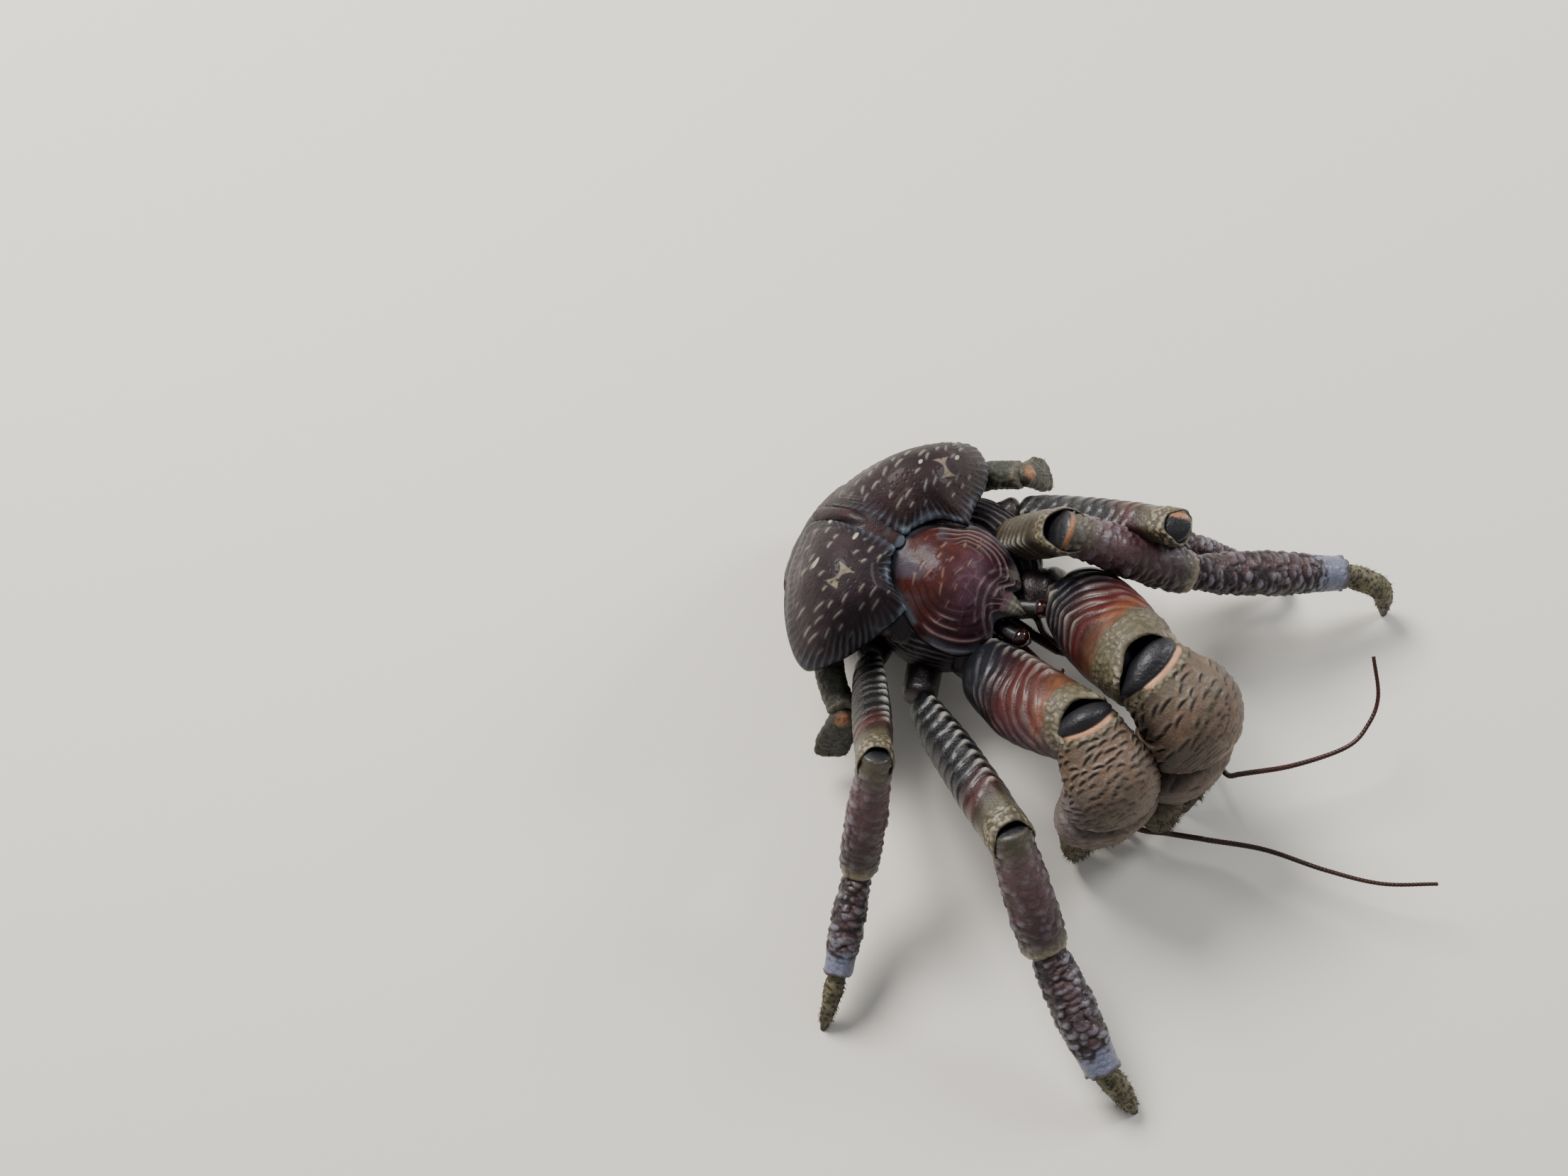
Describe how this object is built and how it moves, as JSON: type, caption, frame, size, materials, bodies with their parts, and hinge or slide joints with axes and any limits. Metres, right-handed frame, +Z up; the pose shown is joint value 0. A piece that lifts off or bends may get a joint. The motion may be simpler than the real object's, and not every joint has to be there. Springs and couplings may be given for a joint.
{
  "type": "coconut crab",
  "caption": "young coconut crab, life-size still model: domed two-lobed carapace, folded claws, striped walking legs, long trailing feelers, tail tucked under",
  "frame": {"origin": "middle of the part's bounding box, on the ground that the crab stands on", "axes": "+Z up, the crab faces -Y with its left side towards +X; its mid line is square to X"},
  "size_m": [0.1144, 0.121, 0.0404],
  "materials": {
    "flesh_dark": "dark leathery skin and underside shell, slightly moist",
    "shell_dark": "very dark brown-purple shell with short cream dashes, wet gloss",
    "shell_red": "maroon shell with a red-orange glow, wet gloss",
    "claw_taupe": "grey-brown shell with rows of short dark scale marks",
    "leg_purple": "purple-brown ridged shell, pale at the ridges, moist",
    "tip_olive": "olive shell with dark bristles",
    "eye_gloss": "dark glossy eye on a short stalk",
    "feeler_brown": "dark red-brown feeler"
  },
  "bodies": {
    "root": {"thorax_underside": "flesh_dark", "abdomen_sac": "flesh_dark", "tergite_1": "shell_dark", "tergite_2": "shell_dark", "tergite_3": "shell_dark", "tergite_4": "shell_dark", "tail_fan": "shell_dark", "cheek_left": "shell_dark", "cheek_right": "shell_dark", "carapace_heart": "shell_red", "carapace_lobe_left": "shell_dark", "carapace_lobe_right": "shell_dark", "carapace_shield": "shell_red", "eye_left": "eye_gloss", "antennule_left": "feeler_brown", "antenna_base_left": "flesh_dark", "antenna_left_1": "feeler_brown", "antenna_left_2": "feeler_brown", "maxilliped_left": "flesh_dark", "eye_right": "eye_gloss", "antennule_right": "feeler_brown", "antenna_base_right": "flesh_dark", "antenna_right_1": "feeler_brown", "antenna_right_2": "feeler_brown", "maxilliped_right": "flesh_dark", "leg4_right_merus": "flesh_dark", "leg4_right_hand": "tip_olive", "leg4_left_merus": "flesh_dark", "leg4_left_hand": "tip_olive", "leg2_right_hip": "flesh_dark", "leg2_right_merus": "leg_purple", "leg2_right_carpus": "leg_purple", "leg2_right_propodus": "leg_purple", "leg2_right_dactyl": "tip_olive", "leg2_left_hip": "flesh_dark", "leg2_left_merus": "leg_purple", "leg2_left_carpus": "leg_purple", "leg2_left_propodus": "leg_purple", "leg2_left_dactyl": "tip_olive", "leg3_right_hip": "flesh_dark", "leg3_right_merus": "leg_purple", "leg3_right_carpus": "leg_purple", "leg3_right_propodus": "leg_purple", "leg3_right_dactyl": "tip_olive", "leg3_left_hip": "flesh_dark", "leg3_left_merus": "leg_purple", "leg3_left_carpus": "leg_purple", "leg3_left_propodus": "leg_purple", "leg3_left_dactyl": "tip_olive", "claw_right_hip": "flesh_dark", "claw_right_merus": "shell_dark", "claw_right_carpus": "claw_taupe", "claw_right_palm": "claw_taupe", "claw_right_finger": "tip_olive", "claw_left_hip": "flesh_dark", "claw_left_merus": "shell_dark", "claw_left_carpus": "claw_taupe", "claw_left_palm": "claw_taupe", "claw_left_finger": "tip_olive"}
  },
  "joints": []
}
